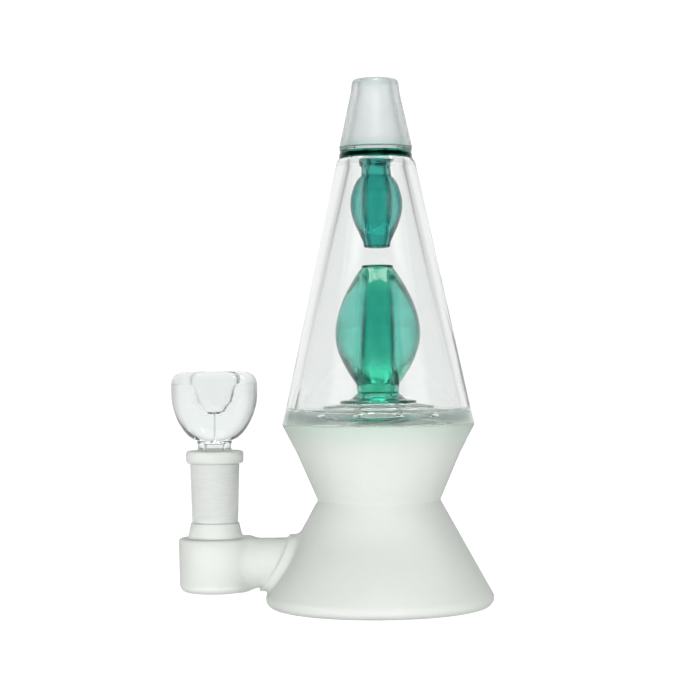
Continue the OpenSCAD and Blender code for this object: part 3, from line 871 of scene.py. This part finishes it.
# ---------------------------------------------------------------- studio
def area_light(name, place, size, power, mirrored=True, only=()):
    """Soft light on all pieces, or only on the pieces named.

    One that is not mirrored lights the frost without a bright patch on the glass."""
    data = bpy.data.lights.new(name, "AREA")
    data.shape = "RECTANGLE"
    data.size, data.size_y = size
    data.energy = power
    obj = bpy.data.objects.new(name, data)
    obj.location = place
    aim = (Vector(STUDIO_AIM) - Vector(place)).to_track_quat("-Z", "Y")
    obj.rotation_euler = aim.to_euler()
    obj.visible_glossy = mirrored
    obj.visible_transmission = mirrored
    if only:
        lit = bpy.data.collections.new(name + "_lit")
        for piece in only:
            lit.objects.link(bpy.data.objects[piece])
        obj.light_linking.receiver_collection = lit
    bpy.context.scene.collection.objects.link(obj)


def camera_switch(tree, others, camera):
    """Shader that camera rays see apart from the light that reaches the object."""
    seen = add(tree, "ShaderNodeLightPath")
    mix = add(tree, "ShaderNodeMixShader")
    tree.links.new(seen.outputs["Is Camera Ray"], mix.inputs["Fac"])
    tree.links.new(others, mix.inputs[1])
    tree.links.new(camera, mix.inputs[2])
    return mix.outputs["Shader"]


def make_world():
    """Brightness behind the object and darkness around the camera, which itself sees plain white."""
    world = bpy.data.worlds.new("studio")
    bpy.context.scene.world = world
    world.use_nodes = True
    tree = world.node_tree
    back = tree.nodes["Background"]
    place = add(tree, "ShaderNodeTexCoord")
    split = add(tree, "ShaderNodeSeparateXYZ")
    tree.links.new(place.outputs["Generated"], split.inputs["Vector"])
    height = add(tree, "ShaderNodeMath", operation="ABSOLUTE")
    tree.links.new(split.outputs["Z"], height.inputs[0])
    along = split.outputs["Y"]
    for part, gain in ((height.outputs["Value"], WORLD_RISE), (split.outputs["Z"], -WORLD_SINK)):
        step = add(tree, "ShaderNodeMath", operation="MULTIPLY_ADD")
        step.inputs[1].default_value = gain
        tree.links.new(part, step.inputs[0])
        tree.links.new(along, step.inputs[2])
        along = step.outputs["Value"]
    first, last = WORLD_STEPS[0][0], WORLD_STEPS[-1][0]
    ramp = add(tree, "ShaderNodeValToRGB")
    tree.links.new(spread(tree, along, 0, 1, first, last), ramp.inputs["Fac"])
    ramp.color_ramp.interpolation = "EASE"
    for _ in WORLD_STEPS[2:]:
        ramp.color_ramp.elements.new(1.0)
    for element, (value, grey) in zip(ramp.color_ramp.elements, WORLD_STEPS):
        element.position = (value - first) / (last - first)
        element.color = (grey, grey, grey, 1)
    tree.links.new(ramp.outputs["Color"], back.inputs["Color"])
    white = add(tree, "ShaderNodeBackground")
    white.inputs["Strength"].default_value = 1.1
    white.inputs["Color"].default_value = (1, 1, 1, 1)
    out = camera_switch(tree, back.outputs["Background"], white.outputs["Background"])
    tree.links.new(out, tree.nodes["World Output"].inputs["Surface"])


def make_floor():
    half, gap = 3.0, 0.00005
    corners = [(-half, -half, 0), (half, -half, 0), (half, half, 0), (-half, half, 0)]
    mesh = bpy.data.meshes.new("pale_floor")
    mesh.from_pydata(corners, [], [(0, 1, 2, 3)])
    obj = bpy.data.objects.new("pale_floor", mesh)
    obj.location.z = -gap
    obj.data.materials.append(floor_material())
    bpy.context.scene.collection.objects.link(obj)


def make_camera():
    """A long lens, level with the lower blob and aimed a little upward, with a slight roll."""
    data = bpy.data.cameras.new("camera")
    data.sensor_width = 36
    distance, seen_width = 0.66, 0.2494
    across, height, aim_height = -0.0108, 0.086, 0.0927
    data.lens = data.sensor_width * distance / seen_width
    data.clip_start = 0.01
    obj = bpy.data.objects.new("camera", data)
    place = Vector((across, -distance, height))
    aim = Vector((across, 0, aim_height)) - place
    turn = aim.to_track_quat("-Z", "Y").to_matrix().to_4x4()
    roll = math.radians(-0.55)
    obj.matrix_world = Matrix.Translation(place) @ turn @ Matrix.Rotation(roll, 4, "Z")
    bpy.context.scene.collection.objects.link(obj)
    bpy.context.scene.camera = obj


def make_studio():
    make_world()
    make_floor()
    make_camera()
    clear = ("lower_blob_piece", "upper_blob_piece", "clear_chamber")
    area_light("softbox_left", (-0.65, -0.50, 0.22), (0.45, 0.80), 1.1, only=clear)
    area_light("softbox_right", (0.65, -0.50, 0.22), (0.45, 0.80), 1.1, only=clear)
    area_light("key_above", (0.02, -0.55, 0.80), (0.40, 0.25), 7, only=("mouthpiece_piece",))
    area_light("fill_front", (-0.10, -1.0, 0.02), (0.5, 0.5), 25, mirrored=False)
    area_light("fill_left", (-0.9, -0.35, 0.15), (0.6, 0.6), 6.5, mirrored=False)
    area_light("fill_right", (0.9, -0.35, 0.15), (0.6, 0.6), 9, mirrored=False)
    area_light("overhead", (0, 0.1, 0.95), (0.9, 0.9), 3)
    area_light("deck_light", (0, 0.1, 0.90), (0.9, 0.9), 24, only=("clear_chamber",))
    scene = bpy.context.scene
    scene.view_settings.view_transform = "Standard"
    scene.cycles.max_bounces = 24
    scene.cycles.transmission_bounces = 24
    scene.cycles.transparent_max_bounces = 16
    scene.cycles.use_denoising = True
    scene.cycles.caustics_refractive = True
    scene.cycles.caustics_reflective = False
    scene.cycles.sample_clamp_indirect = 8


def make_teals():
    """Materials of the two blobs, which are tinted alike but differ in depth and in their painted bands
    of light and shade.
    """
    # Tints of the painted bands: the first paints a band lighter, the second paints a band of shade.
    painted_lighter, painted_darker = (1.4, 1.13, 1.07), (0.30, 0.45, 0.45)
    # Lower blob: its lower half and its top above the narrowing bore are painted lighter, its rim gets a
    # painted dark band and its foot is painted darker.
    lower_painted_bands = [(LOWER_MID_Z, LOWER_MID_Z - 13, painted_lighter),
                   (LOWER_TOP - 10, LOWER_TOP - 9.7, painted_lighter),
                   (LOWER_TOP - 0.8, LOWER_TOP - 0.4, painted_darker),
                   (RING_TOP + 4.0, RING_TOP + 1.4, (0.30, 0.66, 0.60))]
    # Upper blob: a painted dark band at its rim and a painted lighter neck.
    upper_painted_bands = [(UPPER_RIM_Z + 1.0, UPPER_RIM_Z + 0.5, painted_darker),
                   (UPPER_MID_Z + 8, UPPER_MID_Z + 11, (1.35, 1.1, 1.1))]
    lower = teal_glass("lower_teal_glass", base=(0.155, 0.63, 0.53), density=3,
                       painted_edge_shade=(0.95, 0.98, 0.98), painted_bands=lower_painted_bands)
    # The upper blob gets strong painted shade at its edges, the lower blob only a trace.
    upper = teal_glass("upper_teal_glass", base=(0.17, 0.62, 0.575), density=30,
                       painted_edge_shade=(0.14, 0.40, 0.44), painted_bands=upper_painted_bands)
    return lower, upper


def make_frosts():
    """Materials of the frosted foot, of the smoother mouthpiece and of the bead at the joint."""
    # Painted teal glow: the frost is painted greener towards the deck, under the teal blob, and at the
    # foot of the mouthpiece, above the teal disc.
    painted_teal_glow = (0.74, 0.90, 0.82)
    pale, grey = (0.875, 0.90, 0.865), (0.83, 0.855, 0.86)
    frosted = frosted_glass("frosted_glass", pale, clearness=0.7, rough=0.5, grain=0.22,
                            painted_rim_shade=(0.93, 0.95, 0.93), painted_bands=[(DECK_Z - 9, DECK_Z + 4, painted_teal_glow)])
    # The mouthpiece's second band is painted shade under its lip.
    satin = frosted_glass("satin_glass", grey, clearness=0.90, rough=0.20, grain=0.012,
                          painted_rim_shade=(0.70, 0.77, 0.75),
                          painted_bands=[(MOUTH_Z + 3.5, MOUTH_Z, painted_teal_glow),
                                 (TOP_Z - 3.5, TOP_Z - 1, (0.82, 0.88, 0.86))])
    bead = frosted_glass("bead_glass", pale, clearness=0.7, rough=0.35, grain=0.0,
                         painted_rim_shade=(0.90, 0.92, 0.90), painted_bands=[])
    return frosted, satin, bead


def main():
    clear = clear_glass("clear_glass")
    lower_teal, upper_teal = make_teals()
    deep = disc_glass("deep_teal_glass", colour=(0.02, 0.60, 0.52), density=800)
    emerald = disc_glass("emerald_glass", colour=(0.0, 0.90, 0.80), density=200)
    frosted, satin, bead = make_frosts()
    ground = ground_glass()
    make_base(frosted)
    make_chamber(clear_glass("chamber_glass", etched_z=DECK_Z))
    make_lower_blob(lower_teal)
    make_upper_blob(upper_teal)
    make_disc(emerald, deep)
    make_seal_ring(clear)
    make_mouthpiece(satin)
    make_socket(ground, bead)
    make_bowl(clear_glass("bowl_glass", ior=1.37, drawn=0.06), ground)
    # The stem is shown as its CAD solid, which only gets the frosted material.
    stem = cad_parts["inline_stem"]
    stem.data.materials.clear()
    stem.data.materials.append(frosted)
    make_studio()


main()
